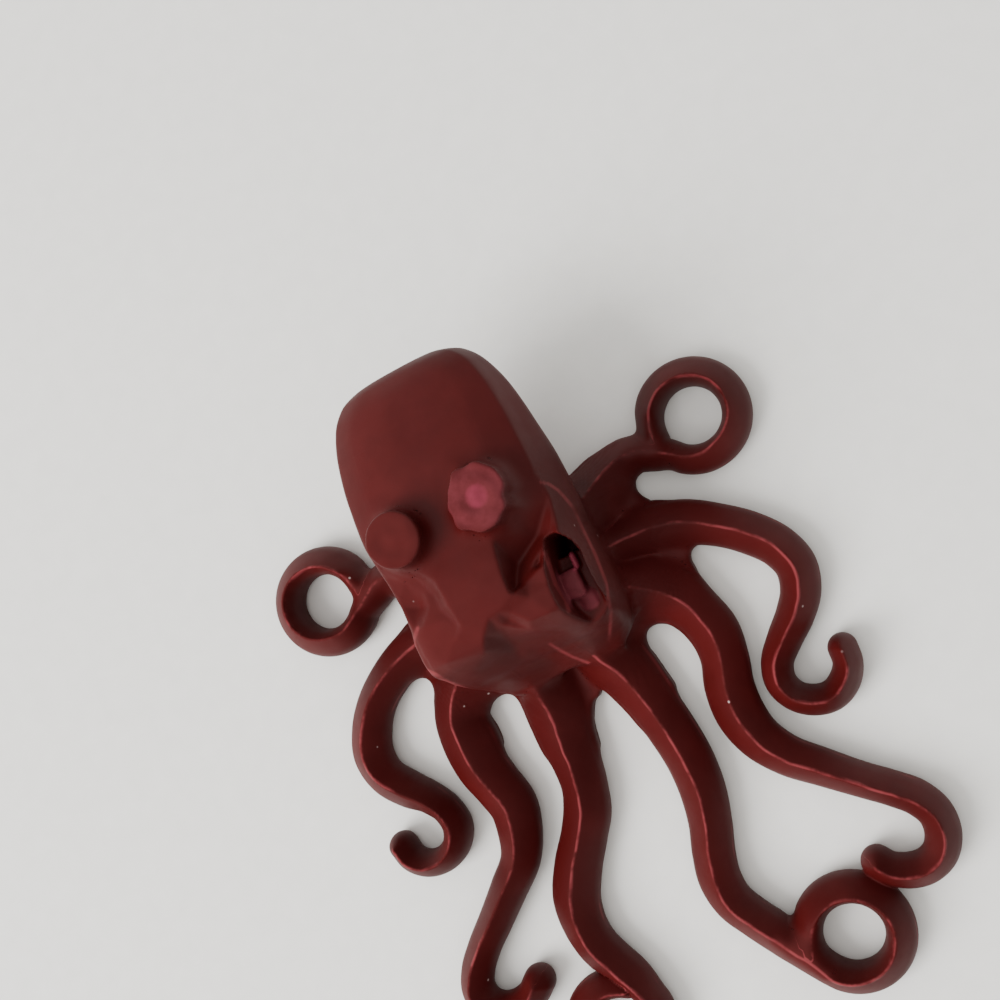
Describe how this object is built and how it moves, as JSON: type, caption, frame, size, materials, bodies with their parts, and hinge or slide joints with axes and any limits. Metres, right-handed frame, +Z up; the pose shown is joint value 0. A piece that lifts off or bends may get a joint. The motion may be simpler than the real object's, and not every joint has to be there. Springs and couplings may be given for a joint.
{
  "type": "octopus figurine",
  "caption": "Small moulded toy octopus lying on flat spread arms, some ending in closed loops and some in open hooks, with button eyes and a flattened domed head.",
  "frame": {"origin": "centre of the socket's mouth, on the plane that the arms and the base rest on", "axes": "+Z up, away from the surface the arms lie on; +Y towards the crown at the back of the head; -Y towards the front arms; +X to the side of the viewer's right; the mirror plane of the head is X = 0"},
  "size_m": [0.0326, 0.0426, 0.0149],
  "materials": {
    "maroon_plastic": "satin"
  },
  "bodies": {
    "root": {"base": "maroon_plastic", "mantle": "maroon_plastic", "face": "maroon_plastic", "eye_right": "maroon_plastic", "eye_left": "maroon_plastic", "window_rib_right": "maroon_plastic", "window_rib_left": "maroon_plastic", "arm_front_right": "maroon_plastic", "arm_front_left": "maroon_plastic", "arm_mid_right": "maroon_plastic", "arm_mid_left": "maroon_plastic", "arm_side_right": "maroon_plastic", "arm_side_left": "maroon_plastic", "arm_rear_right": "maroon_plastic", "arm_rear_left": "maroon_plastic", "loop_rear_right": "maroon_plastic", "loop_rear_left": "maroon_plastic", "loop_front_right": "maroon_plastic", "loop_front_left": "maroon_plastic", "hook_side_right": "maroon_plastic", "hook_side_left": "maroon_plastic", "hook_mid_right": "maroon_plastic", "hook_mid_left": "maroon_plastic"}
  },
  "joints": []
}
